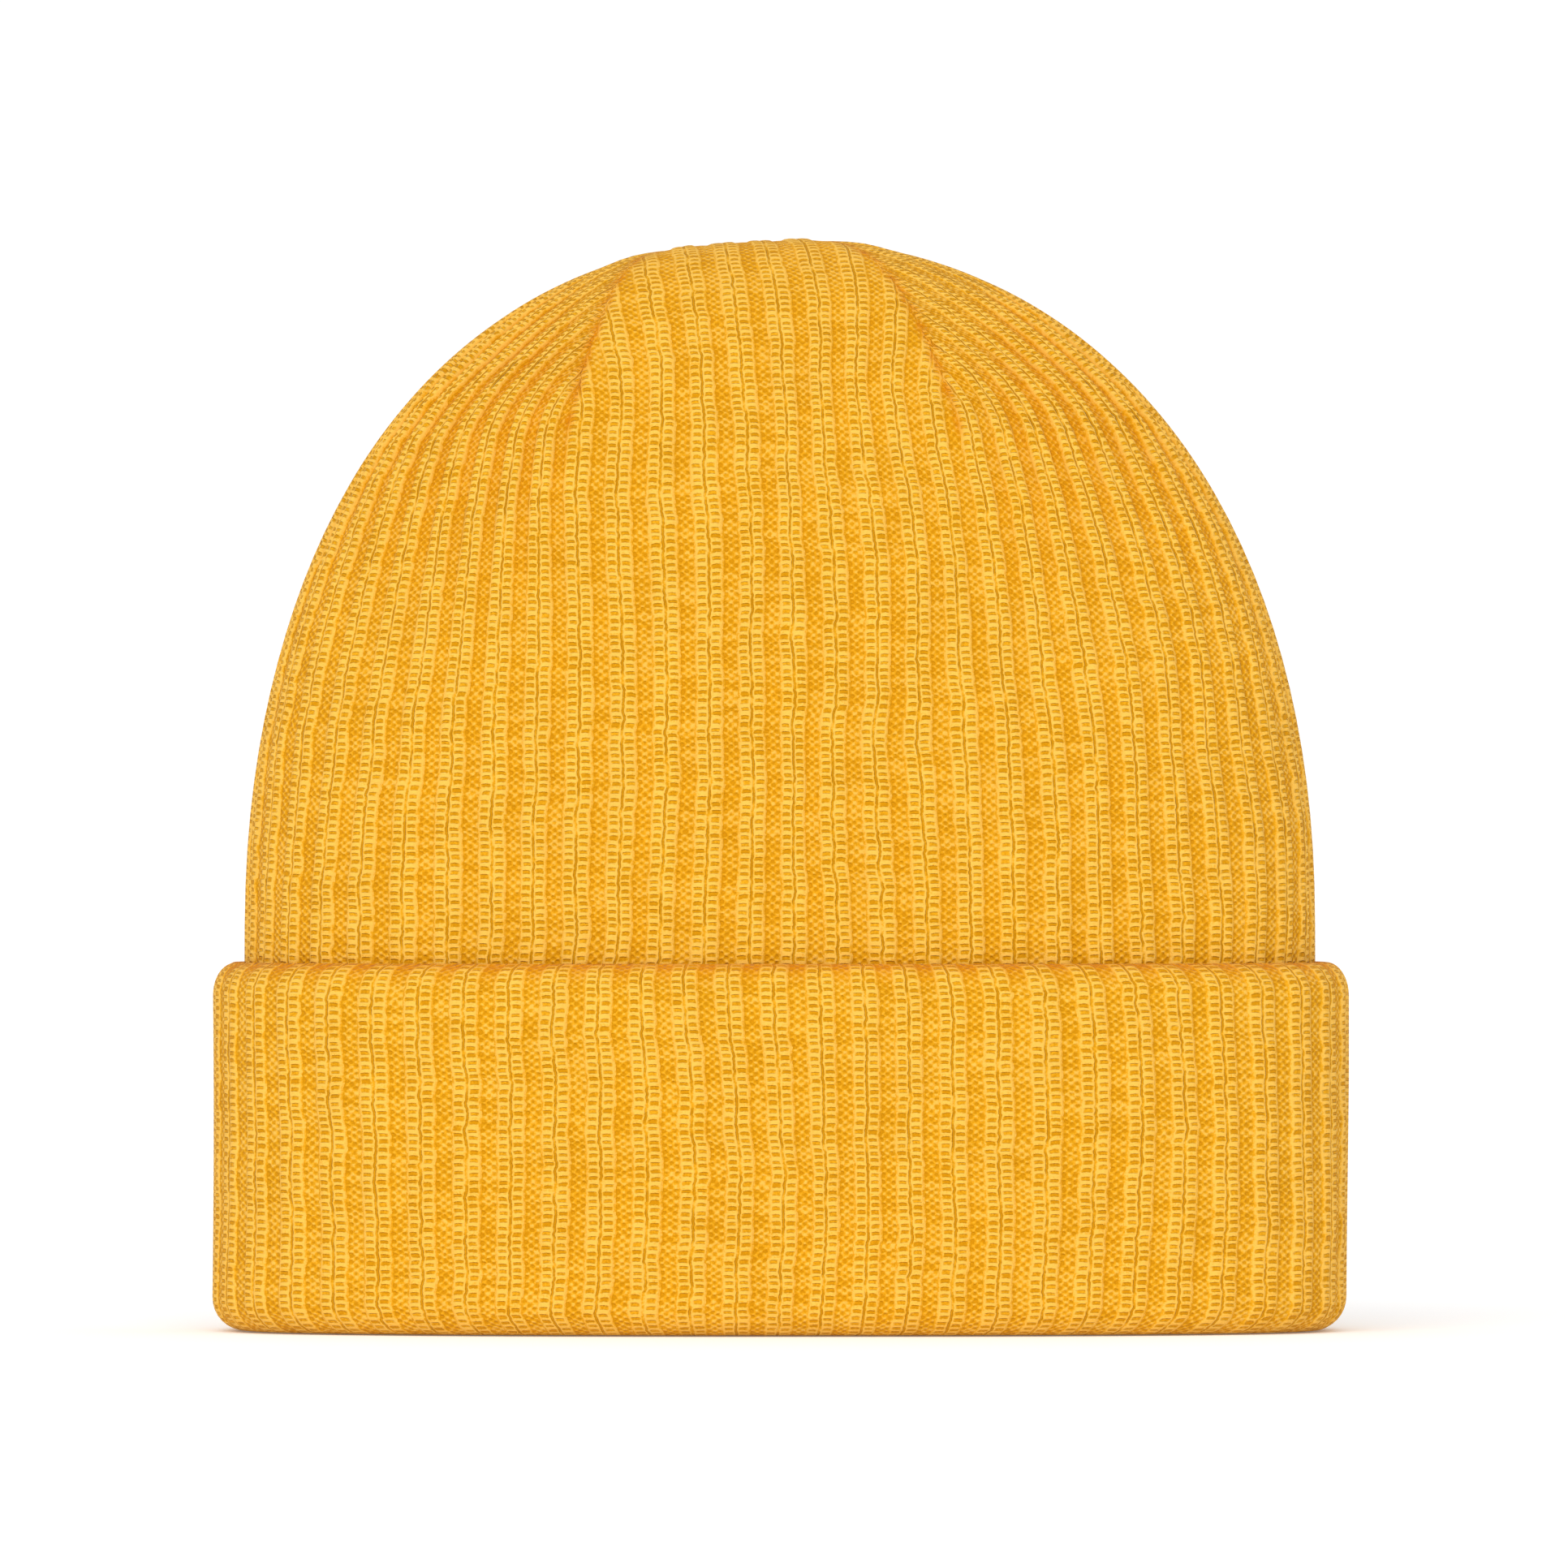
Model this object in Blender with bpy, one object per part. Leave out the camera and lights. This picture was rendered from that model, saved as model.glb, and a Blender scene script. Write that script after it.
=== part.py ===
"""Knit beanie: a double-layer rib-knit hat with a domed crown and a turned-up double cuff.

Frame: metres, +Z up, origin on the floor under the middle of the brim. The hat stands on its brim,
its wide front faces -Y. All knit layers are thin closed solids with plain faces; the ribs and the
stitches are surface detail and are not part of the solids.
"""
import math

import bmesh
import bpy
from mathutils import Vector

MM = 0.001

# Body of the hat
HALF_WIDTH = 103.5 * MM
HALF_DEPTH = 46.0 * MM
SHOULDER_Z = 78.1 * MM
CROWN_Z = 210.9 * MM
DOME_POWER = 2.2
SECTION_POWER = 2.6

# Knit layers
SHELL_THICKNESS = 2.6 * MM
LINING_THICKNESS = 2.2 * MM
LAYER_GAP = 0.5 * MM
CROWN_GAP = 6.0 * MM

# Turned-up cuff
CUFF_HEIGHT = 71.1 * MM
CUFF_THICKNESS = 5.6 * MM
CUFF_CLEARANCE = 0.9 * MM
CUFF_EDGE_RISE = 6.5 * MM
CUFF_EDGE_FLAT = 1.4 * MM

# Dart seams that close the two crowns. They meet in one point, which sits left of and behind the
# middle. Along a seam, both sides of the outline shrink from the foot's share to the head's.
CROWN_SHIFT = (-8.0 * MM, 18.0 * MM)
DART_FOOT_SHARE = 0.777
DART_HEAD_SHARE = 0.10
DART_SPREAD = {-1: 0.49, 1: 0.435}
SEAM_RADIUS = 0.45 * MM
SHELL_SEAM_DEPTH = 1.05 * MM
LINING_SEAM_HEIGHT = 0.85 * MM
LINING_DART_SPREAD = 0.84
TACK_RADIUS = 1.0 * MM
TACK_CLEARANCE = 1.0 * MM

# Care label
LABEL_WIDTH = 20.0 * MM
LABEL_LENGTH = 34.0 * MM
LABEL_THICKNESS = 0.8 * MM
LABEL_TOP_Z = 148.0 * MM
LABEL_STAND_OFF = 1.1 * MM
LABEL_STITCH_HEIGHT = 1.4 * MM
LABEL_TURN_ROOM = 0.5 * MM
TOUCH_GAP = 0.3 * MM

# Mesh density
AROUND = 84
WALL_RINGS = 3
DOME_RINGS = 18
SEAM_POINTS = 12
CORNER_STEPS = 4

YARN = (0.80, 0.44, 0.035)
LINING_YARN = (0.74, 0.39, 0.030)
THREAD = (0.70, 0.33, 0.020)
LABEL_TAPE = (0.86, 0.85, 0.80)


def make_material(name, colour, roughness):
    """A non-metallic surface with one colour."""
    material = bpy.data.materials.new(name)
    material.use_nodes = True
    shader = material.node_tree.nodes["Principled BSDF"]
    shader.inputs["Base Color"].default_value = (*colour, 1.0)
    shader.inputs["Roughness"].default_value = roughness
    shader.inputs["Metallic"].default_value = 0.0
    return material


def add_object(name, data, material, parent=None):
    """Link data into the scene as one named object."""
    obj = bpy.data.objects.new(name, data)
    bpy.context.scene.collection.objects.link(obj)
    data.materials.append(material)
    if parent is not None:
        obj.parent = parent
    return obj


def finish_mesh(bm, name):
    """Turn all faces outwards and return the mesh."""
    bmesh.ops.recalc_face_normals(bm, faces=bm.faces[:])
    mesh = bpy.data.meshes.new(name)
    bm.to_mesh(mesh)
    bm.free()
    mesh.shade_smooth()
    mesh.set_sharp_from_angle(angle=math.radians(35))
    return mesh


def signed_power(value, power):
    return math.copysign(abs(value) ** power, value)


def section_point(half_width, half_depth, z, angle, power):
    """A point of the oval cross-section at one height."""
    x = half_width * signed_power(math.cos(angle), 2 / power)
    y = half_depth * signed_power(math.sin(angle), 2 / power)
    return Vector((x, y, z))


def add_ring(bm, half_width, half_depth, z, power):
    """A closed ring of vertices round the hat."""
    angles = (2 * math.pi * step / AROUND for step in range(AROUND))
    return [bm.verts.new(section_point(half_width, half_depth, z, a, power)) for a in angles]


def bridge(bm, first, second):
    """A band of faces between two rings."""
    for i in range(AROUND):
        j = (i + 1) % AROUND
        bm.faces.new((first[i], first[j], second[j], second[i]))


def cap(bm, ring, pole):
    """A fan of faces that closes a ring at the crown."""
    tip = bm.verts.new(pole)
    for i in range(AROUND):
        bm.faces.new((ring[i], ring[(i + 1) % AROUND], tip))


def crown_rise(inset, crown_drop):
    """Height of a layer's dome above the shoulder."""
    return CROWN_Z - SHOULDER_Z - inset - crown_drop


def add_layer_face(bm, inset, crown_drop):
    """One face of a knit layer, from brim to crown, and its lowest ring.

    inset is the face's distance inside the hat's outer face, and crown_drop is the extra distance
    that it hangs down by at the crown.
    """
    half_width = HALF_WIDTH - inset
    half_depth = HALF_DEPTH - inset
    rise = crown_rise(inset, crown_drop)
    rings = []
    for step in range(WALL_RINGS):
        rings.append(add_ring(bm, half_width, half_depth, SHOULDER_Z * step / WALL_RINGS, SECTION_POWER))
    for step in range(DOME_RINGS):
        tilt = math.radians(90) * step / DOME_RINGS
        shrink = math.cos(tilt) ** (2 / DOME_POWER)
        z = SHOULDER_Z + rise * math.sin(tilt) ** (2 / DOME_POWER)
        rings.append(add_ring(bm, half_width * shrink, half_depth * shrink, z, SECTION_POWER))
    for lower, upper in zip(rings, rings[1:]):
        bridge(bm, lower, upper)
    cap(bm, rings[-1], (0.0, 0.0, SHOULDER_Z + rise))
    return rings[0]


def build_layer(name, material, inset, thickness, crown_drop):
    """A knit layer with an outer face, an inner face and a flat lower edge."""
    bm = bmesh.new()
    outer_foot = add_layer_face(bm, inset, crown_drop)
    inner_foot = add_layer_face(bm, inset + thickness, crown_drop)
    bridge(bm, outer_foot, inner_foot)
    return add_object(name, finish_mesh(bm, name), material)


def cuff_profile():
    """Outline of the cuff's cross-section as (distance from its inner face, height) pairs."""
    reach = CUFF_THICKNESS - CUFF_EDGE_FLAT
    corner = []
    for step in range(CORNER_STEPS + 1):
        turn = math.radians(90) * step / CORNER_STEPS
        corner.append((CUFF_EDGE_FLAT + reach * math.sin(turn), CUFF_EDGE_RISE * (1 - math.cos(turn))))
    upper_corner = [(distance, CUFF_HEIGHT - z) for distance, z in reversed(corner)]
    return [(0.0, 0.0), *corner, *upper_corner, (0.0, CUFF_HEIGHT)]


def build_cuff(material, parent):
    """The turned-up double band, folded at its top and bottom edges."""
    bm = bmesh.new()
    inner_width = HALF_WIDTH + CUFF_CLEARANCE
    inner_depth = HALF_DEPTH + CUFF_CLEARANCE
    rings = []
    for distance, z in cuff_profile():
        rings.append(add_ring(bm, inner_width + distance, inner_depth + distance, z, SECTION_POWER))
    for lower, upper in zip(rings, rings[1:] + rings[:1]):
        bridge(bm, lower, upper)
    return add_object("turn_up_cuff", finish_mesh(bm, "turn_up_cuff"), material, parent)


def dome_depth(x, z, inset, crown_drop):
    """Depth of a dome face at a given width and height."""
    rise = crown_rise(inset, crown_drop)
    shrink = (1 - min(1.0, (z - SHOULDER_Z) / rise) ** DOME_POWER) ** (1 / DOME_POWER)
    across = min(1.0, abs(x) / ((HALF_WIDTH - inset) * shrink))
    return (HALF_DEPTH - inset) * shrink * (1 - across ** SECTION_POWER) ** (1 / SECTION_POWER)


def crown_point(across, forward, share, inset, crown_drop):
    """A point of a dome face on one line from its outline to the point where the seams meet.

    across and forward place the line on the outline, as shares of its half width and half depth;
    share is 1 on the outline and 0 where the seams meet.
    """
    slide = (1 - share ** 2) ** 2
    x_share = across * share + slide * CROWN_SHIFT[0] / HALF_WIDTH
    y_share = forward * share + slide * CROWN_SHIFT[1] / HALF_DEPTH
    out = (abs(x_share) ** SECTION_POWER + abs(y_share) ** SECTION_POWER) ** (1 / SECTION_POWER)
    z = SHOULDER_Z + crown_rise(inset, crown_drop) * (1 - out ** DOME_POWER) ** (1 / DOME_POWER)
    return Vector((x_share * (HALF_WIDTH - inset), y_share * (HALF_DEPTH - inset), z))


def build_dart_seam(name, material, across, face, inset, crown_drop):
    """A sewn thread line in the crease of one dart, from its foot up to near the meeting point."""
    forward = face * (1 - abs(across) ** SECTION_POWER) ** (1 / SECTION_POWER)
    curve = bpy.data.curves.new(name, "CURVE")
    curve.dimensions = "3D"
    curve.bevel_depth = SEAM_RADIUS
    curve.bevel_resolution = 1
    curve.use_fill_caps = True
    spline = curve.splines.new("POLY")
    spline.points.add(SEAM_POINTS - 1)
    for step, point in enumerate(spline.points):
        along = step / (SEAM_POINTS - 1)
        share = DART_FOOT_SHARE + (DART_HEAD_SHARE - DART_FOOT_SHARE) * along
        point.co = (*crown_point(across, forward, share, inset, crown_drop), 1.0)
    return add_object(name, curve, material)


def build_tack(material, top_inset, bottom_inset, bottom_drop):
    """A short stack of thread between the two crowns, where their seams meet."""
    top = crown_point(0.0, 0.0, 0.0, top_inset, 0.0)
    bottom = crown_point(0.0, 0.0, 0.0, bottom_inset, bottom_drop)
    depth = top.z - bottom.z - 2 * TACK_CLEARANCE
    bm = bmesh.new()
    bmesh.ops.create_cone(bm, cap_ends=True, segments=12, radius1=TACK_RADIUS, radius2=TACK_RADIUS,
                          depth=depth)
    tack = add_object("crown_tack", finish_mesh(bm, "crown_tack"), material)
    tack.location = (top + bottom) / 2
    return tack


def build_box(name, material, size, centre, parent=None):
    """A flat piece of tape or stitching."""
    bm = bmesh.new()
    bmesh.ops.create_cube(bm, size=1.0)
    bmesh.ops.scale(bm, vec=size, verts=bm.verts[:])
    bmesh.ops.translate(bm, vec=centre, verts=bm.verts[:])
    return add_object(name, finish_mesh(bm, name), material, parent)


def add_pivot(name, location):
    """An empty on a joint's axis."""
    pivot = bpy.data.objects.new(name, None)
    bpy.context.scene.collection.objects.link(pivot)
    pivot.location = location
    return pivot


def build_label(tape, thread, lining_inset, crown_drop):
    """The blank folded care label and the stitches that hold its top edge to the lining."""
    wall_y = dome_depth(LABEL_WIDTH / 2, LABEL_TOP_Z, lining_inset, crown_drop)
    hinge_y = wall_y - LABEL_STAND_OFF
    pivot = add_pivot("care_label_pivot", (0.0, hinge_y, LABEL_TOP_Z))
    size = (LABEL_WIDTH, LABEL_THICKNESS, LABEL_LENGTH)
    build_box("care_label", tape, size, (0.0, 0.0, -LABEL_LENGTH / 2), pivot)
    stitch_size = (LABEL_WIDTH - 2 * MM, LABEL_THICKNESS, LABEL_STITCH_HEIGHT)
    stitch_z = LABEL_TOP_Z + LABEL_TURN_ROOM + LABEL_STITCH_HEIGHT / 2
    build_box("care_label_stitching", thread, stitch_size, (0.0, hinge_y, stitch_z))


def build_hat():
    """All the pieces of the hat, from the outside in."""
    yarn = make_material("golden_rib_knit", YARN, 0.9)
    lining_yarn = make_material("golden_lining_knit", LINING_YARN, 0.9)
    thread = make_material("closing_thread", THREAD, 0.8)
    tape = make_material("blank_woven_tape", LABEL_TAPE, 0.7)

    shell_inner = SHELL_THICKNESS
    lining_outer = shell_inner + LAYER_GAP
    lining_inner = lining_outer + LINING_THICKNESS
    build_layer("outer_shell", yarn, 0.0, SHELL_THICKNESS, 0.0)
    build_layer("inner_lining", lining_yarn, lining_outer, LINING_THICKNESS, CROWN_GAP)

    cuff_axis = add_pivot("cuff_slide_axis", (0.0, 0.0, 0.0))
    build_cuff(yarn, cuff_axis)

    seam_inset = shell_inner + SHELL_SEAM_DEPTH
    lining_seam_inset = lining_outer - LINING_SEAM_HEIGHT
    for face_name, face in (("front", -1), ("back", 1)):
        for side_name, side in (("left", -1), ("right", 1)):
            place = f"{face_name}_{side_name}"
            across = side * DART_SPREAD[side]
            build_dart_seam(f"shell_dart_seam_{place}", thread, across, face, seam_inset, 0.0)
            build_dart_seam(f"lining_dart_seam_{place}", thread, across * LINING_DART_SPREAD, face,
                            lining_seam_inset, CROWN_GAP)
    build_tack(thread, shell_inner, lining_outer, CROWN_GAP)
    build_label(tape, thread, lining_inner, CROWN_GAP)


for old_object in list(bpy.data.objects):
    bpy.data.objects.remove(old_object, do_unlink=True)
build_hat()
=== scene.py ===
"""Looks of a double-layer rib-knit beanie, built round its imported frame.

The hat stands on its brim with its wide front towards -Y. Its knit is modelled rib by rib: the body
closes at the crown in four sewn darts, and the brim is turned up into a doubled cuff. Lengths are in
metres, in the frame's own axes.
"""

import logging
import math
from dataclasses import dataclass, field, replace
from enum import Enum

import bpy
import numpy as np
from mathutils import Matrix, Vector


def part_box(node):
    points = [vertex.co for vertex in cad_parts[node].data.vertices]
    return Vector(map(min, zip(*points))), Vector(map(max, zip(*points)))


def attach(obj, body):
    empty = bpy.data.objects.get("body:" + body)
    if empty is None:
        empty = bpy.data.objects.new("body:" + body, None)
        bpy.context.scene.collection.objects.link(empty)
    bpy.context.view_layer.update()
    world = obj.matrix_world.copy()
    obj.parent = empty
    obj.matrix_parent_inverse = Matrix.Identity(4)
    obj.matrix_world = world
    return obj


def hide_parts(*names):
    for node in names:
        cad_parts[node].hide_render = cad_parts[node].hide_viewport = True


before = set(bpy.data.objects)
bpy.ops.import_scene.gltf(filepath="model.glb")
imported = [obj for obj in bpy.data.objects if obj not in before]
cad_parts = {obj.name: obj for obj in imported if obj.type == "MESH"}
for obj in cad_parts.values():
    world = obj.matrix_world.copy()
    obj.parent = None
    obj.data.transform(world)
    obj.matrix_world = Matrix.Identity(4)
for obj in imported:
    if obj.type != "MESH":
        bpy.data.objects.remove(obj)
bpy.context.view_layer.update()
LOG = logging.getLogger("beanie")

MM = 0.001
RIBS_ROUND = 60
RIBS_PER_QUARTER = RIBS_ROUND // 4
FRONT_HALF_RIBS = 5
COURSE_PITCH = 1.44 * MM
WALE_SHARE = 0.335
VALLEY_MIDDLE = 0.835
VALLEY_HALF = 0.165
SHELL_THREAD_INSET = 3.65 * MM
LINING_THREAD_INSET = 2.45 * MM
SEAM_THREAD = 0.42 * MM
TACK_THREAD = 0.8 * MM
LABEL_THREAD = 0.18 * MM
LABEL_THREAD_TWIST = 1.2 * MM

Array = np.ndarray


class Half(Enum):
    """Which way a knit face looks."""

    OUTWARD = 1
    INWARD = -1


def smooth(low: float, high: float, value: Array) -> Array:
    """Smooth step from 0 at low to 1 at high."""
    t = np.clip((value - low) / (high - low), 0.0, 1.0)
    return t * t * (3.0 - 2.0 * t)


def hump(value: Array, middle: float, width: float) -> Array:
    """Smooth hump of height 1 over a middle value."""
    return np.exp(-((value - middle) / width) ** 2)


def ripple(u: Array, v: Array, seed: int, cells: int = 7) -> Array:
    """Slow uneven waves over a knit face, the same where the ribs close round.

    Args:
        u: Place round the hat, in ribs.
        v: Place up the hat, in metres.
        seed: Which set of waves.
        cells: How many waves are summed.

    Returns:
        Values of about -1 to 1.
    """
    draw = np.random.default_rng(seed)
    total = np.zeros(np.broadcast(u, v).shape)
    for _ in range(cells):
        turns = int(draw.integers(1, 13))
        rise = draw.uniform(8.0, 60.0)
        phase = draw.uniform(0.0, 2.0 * math.pi)
        turned = 2.0 * math.pi * turns * u / RIBS_ROUND
        total += np.sin(turned + rise * v * draw.choice([-1, 1]) + phase)
    return total / math.sqrt(cells)


@dataclass(frozen=True)
class Oval:
    """Rounded-rectangle outline of the hat seen from above."""

    power: float = 2.6
    samples: int = 240

    def quarter(self, half_width: float, half_depth: float) -> tuple[Array, Array, Array]:
        """Quarter outline from the front's middle to the side's middle.

        Args:
            half_width: Half of the outline's size along X.
            half_depth: Half of its size along Y.

        Returns:
            x, depth and length so far, along the outline.
        """
        angle = np.linspace(0.0, math.pi / 2.0, self.samples)
        x = half_width * np.sin(angle) ** (2.0 / self.power)
        depth = half_depth * np.cos(angle) ** (2.0 / self.power)
        steps = np.hypot(np.diff(x), np.diff(depth))
        return x, depth, np.concatenate([[0.0], np.cumsum(steps)])

    def normal(self, x: Array, y: Array, half_width: float,
               half_depth: float) -> tuple[Array, Array]:
        """Unit outward normal of the outline at points on it."""
        nx = np.sign(x) * np.abs(x / half_width) ** (self.power - 1.0) / half_width
        ny = np.sign(y) * np.abs(y / half_depth) ** (self.power - 1.0) / half_depth
        size = np.maximum(np.hypot(nx, ny), 1e-12)
        return nx / size, ny / size


@dataclass(frozen=True)
class RibProfile:
    """Height of one rib repeat: two raised wales with a fine groove between them, and a valley."""

    valley_depth: float = 0.75 * MM
    groove_depth: float = 0.28 * MM

    def height(self, repeat: Array) -> Array:
        """Height, 0 on the wales' tops and below 0 beside them.

        Args:
            repeat: Place round the hat in ribs; its whole part is ignored.

        Returns:
            Heights in metres.
        """
        part = np.mod(repeat, 1.0)
        wale = part / WALE_SHARE
        across = 2.0 * (wale - np.floor(wale)) - 1.0
        first = wale < 1.0
        outer_edge = np.where(first, across < 0.0, across > 0.0)
        drop = np.where(outer_edge, self.valley_depth, self.groove_depth)
        over_wale = -drop * np.abs(across) ** 2.6
        over_valley = -self.valley_depth * (0.85 + 0.15 * np.abs((part - VALLEY_MIDDLE) / VALLEY_HALF))
        return np.where(part > 2.0 * WALE_SHARE, over_valley, over_wale)


@dataclass(frozen=True)
class Yarn:
    """Dyed acrylic yarn and how the knit made of it looks."""

    name: str
    # The light colour is the yarn's pale tone with a painted highlight on raised stitch tops; the deep
    # colour is painted shade in holes, grooves and valleys; the crease colour is painted shade in
    # creases, furrows and hidden faces; middle is the yarn's own colour.
    light: tuple[float, float, float] = (0.86, 0.49, 0.078)
    middle: tuple[float, float, float] = (0.76, 0.358, 0.008)
    hollow_shade: tuple[float, float, float] = (0.60, 0.252, 0.0006)
    crease_and_shade: tuple[float, float, float] = (0.66, 0.205, 0.0003)
    roughness: float = 0.92
    sheen: float = 0.06
    stitch_relief: float = 0.30 * MM


class NodeBench:
    """Short ways to add and join shader nodes in one material."""

    def __init__(self, name: str) -> None:
        """Start a material with an empty Principled surface."""
        self.material = bpy.data.materials.new(name)
        self.material.use_nodes = True
        self.tree = self.material.node_tree
        self.surface = self.tree.nodes["Principled BSDF"]

    def add(self, kind: str, **settings: object) -> bpy.types.Node:
        """Add a node and set its plain properties."""
        node = self.tree.nodes.new(kind)
        for key, value in settings.items():
            setattr(node, key, value)
        return node

    def link(self, source: object, target: object) -> None:
        """Join an output to an input, or put a plain value on the input."""
        if isinstance(source, bpy.types.NodeSocket):
            self.tree.links.new(source, target)
        else:
            target.default_value = source

    def math(self, operation: str, *values: object) -> bpy.types.NodeSocket:
        """Result of a Math node over sockets and numbers."""
        node = self.add("ShaderNodeMath", operation=operation)
        for slot, value in zip(node.inputs, values):
            self.link(value, slot)
        return node.outputs[0]

    def times(self, first: object, second: object) -> bpy.types.NodeSocket:
        """Product of two sockets or numbers."""
        return self.math("MULTIPLY", first, second)

    def plus(self, first: object, second: object) -> bpy.types.NodeSocket:
        """Sum of two sockets or numbers."""
        return self.math("ADD", first, second)

    def minus(self, first: object, second: object) -> bpy.types.NodeSocket:
        """First value less the second."""
        return self.math("SUBTRACT", first, second)

    def fade(self, value: object, low: float, high: float) -> bpy.types.NodeSocket:
        """Smooth step of a value, 0 at low and 1 at high."""
        node = self.add("ShaderNodeMapRange", interpolation_type="SMOOTHSTEP")
        self.link(value, node.inputs["Value"])
        node.inputs["From Min"].default_value = low
        node.inputs["From Max"].default_value = high
        return node.outputs["Result"]

    def mix(self, share: object, first: object, second: object) -> bpy.types.NodeSocket:
        """Colour between two colours."""
        node = self.add("ShaderNodeMix", data_type="RGBA")
        colours = [c if isinstance(c, bpy.types.NodeSocket) else (*c, 1.0) for c in (first, second)]
        self.link(share, node.inputs[0])
        self.link(colours[0], node.inputs[6])
        self.link(colours[1], node.inputs[7])
        return node.outputs[2]

    def noise(self, vector: object, scale: float, detail: float = 2.0) -> bpy.types.NodeSocket:
        """Smooth noise of about 0 to 1 over a vector."""
        node = self.add("ShaderNodeTexNoise")
        self.link(vector, node.inputs["Vector"])
        node.inputs["Scale"].default_value = scale
        node.inputs["Detail"].default_value = detail
        return node.outputs["Fac"]

    def scatter(self, first: object, second: object) -> bpy.types.NodeSocket:
        """Random value of 0 to 1 for each pair of whole numbers."""
        pair = self.add("ShaderNodeCombineXYZ")
        self.link(first, pair.inputs[0])
        self.link(second, pair.inputs[1])
        node = self.add("ShaderNodeTexWhiteNoise", noise_dimensions="2D")
        self.link(pair.outputs[0], node.inputs["Vector"])
        return node.outputs["Value"]

    def set_surface(self, **values: object) -> None:
        """Set inputs of the Principled surface; an underscore stands for a space."""
        for key, value in values.items():
            self.link(value, self.surface.inputs[key.replace("_", " ")])


class KnitFinish:
    """Stitch-by-stitch look of the rib knit, laid on a piece by its knit map."""

    def __init__(self, yarn: Yarn) -> None:
        """Build the material for one yarn."""
        self.yarn = yarn
        self.bench = NodeBench(yarn.name)
        self.material = self._build()

    def _stitch_places(self) -> tuple[bpy.types.NodeSocket, ...]:
        """Knit map, place in the rib repeat and place up the courses, each wale set a little off."""
        bench = self.bench
        knit_map = bench.add("ShaderNodeUVMap", uv_map="knit").outputs["UV"]
        split = bench.add("ShaderNodeSeparateXYZ")
        bench.link(knit_map, split.inputs[0])
        wander = bench.minus(bench.noise(knit_map, 0.16, 2.0), 0.5)
        tremble = bench.minus(bench.noise(knit_map, 1.1, 1.0), 0.5)
        sway = bench.math("MULTIPLY_ADD", wander, 0.22, bench.times(tremble, 0.085))
        u = bench.plus(split.outputs["X"], sway)
        wale_seed = bench.scatter(self._wale_number(u), 0.0)
        slow = bench.times(bench.noise(knit_map, 0.16, 2.0), 1.6)
        drift = bench.plus(slow, bench.times(bench.noise(knit_map, 1.7, 1.0), 0.42))
        v = bench.plus(bench.plus(split.outputs["Y"], drift), wale_seed)
        return knit_map, u, v

    def _wale_number(self, u: object) -> bpy.types.NodeSocket:
        """Whole number of the wale or valley at a place round the hat, three to a rib."""
        bench = self.bench
        within = bench.math("FLOOR", bench.times(bench.math("FRACT", u), 1.0 / WALE_SHARE))
        return bench.math("MULTIPLY_ADD", bench.math("FLOOR", u), 3.0, within)

    def _ladder(self, across: object, v: object) -> bpy.types.NodeSocket:
        """Height over a wale: bright rungs with a short hole between two of them."""
        bench = self.bench
        out = bench.math("ABSOLUTE", across)
        bowed = bench.plus(v, bench.times(out, 0.10))
        turn = bench.math("COSINE", bench.times(bowed, 2 * math.pi))
        away = bench.times(turn, -1.0)
        hole = bench.times(bench.fade(away, -0.30, 0.65),
                          bench.minus(1.0, bench.fade(out, 0.34, 0.76)))
        edge = bench.times(bench.fade(out, 0.64, 1.0), 0.44)
        height = bench.minus(1.0, bench.times(hole, 0.84))
        return bench.minus(height, edge)

    def _groove(self, part: object, knit_map: object) -> bpy.types.NodeSocket:
        """Depth of the fine broken line between the two wales."""
        bench = self.bench
        away = bench.math("ABSOLUTE", bench.minus(part, WALE_SHARE))
        line = bench.minus(1.0, bench.fade(away, 0.010, 0.034))
        return bench.times(line, bench.fade(bench.noise(knit_map, 0.45, 2.0), 0.30, 0.60))

    def _beads(self, across: object, v: object) -> bpy.types.NodeSocket:
        """Height over a valley: small bumps set like a chequer."""
        bench = self.bench
        row = bench.math("COSINE", bench.times(v, 2 * math.pi))
        column = bench.math("COSINE", bench.times(across, 1.45 * math.pi))
        chequer = bench.times(row, column)
        beside_wale = bench.minus(1.0, bench.fade(across, -0.85, -0.40))
        sunk = bench.times(beside_wale, 0.30)
        return bench.minus(bench.math("MULTIPLY_ADD", chequer, 0.50, 0.50), sunk)

    def _build(self) -> bpy.types.Material:
        """Join stitch shape, colours with painted shade and highlight by height, relief and sheen."""
        bench = self.bench
        yarn = self.yarn
        knit_map, u, v = self._stitch_places()
        part = bench.math("FRACT", u)
        in_valley = bench.math("GREATER_THAN", part, 2.0 * WALE_SHARE)
        wale = bench.math("FRACT", bench.times(part, 1.0 / WALE_SHARE))
        on_wale = bench.math("MULTIPLY_ADD", wale, 2.0, -1.0)
        on_valley = bench.math("MULTIPLY_ADD", part, 1.0 / VALLEY_HALF, -VALLEY_MIDDLE / VALLEY_HALF)
        ladder = self._ladder(on_wale, v)
        height = bench.plus(bench.times(self._beads(on_valley, v), in_valley),
                            bench.times(ladder, bench.minus(1.0, in_valley)))
        groove = bench.times(self._groove(part, knit_map), 0.62)
        height = bench.math("MAXIMUM", bench.minus(height, groove), 0.0)

        object_place = bench.add("ShaderNodeTexCoord").outputs["Object"]
        fibre = bench.noise(object_place, 2400.0, 3.0)
        patch = bench.noise(object_place, 110.0, 2.0)
        stitch = bench.scatter(self._wale_number(u), bench.math("FLOOR", v))

        # Colour follows stitch height: painted shade in holes, grooves and beside the wales, and
        # painted highlight on raised tops, with random stitch-to-stitch and fibre tone added.
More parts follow.
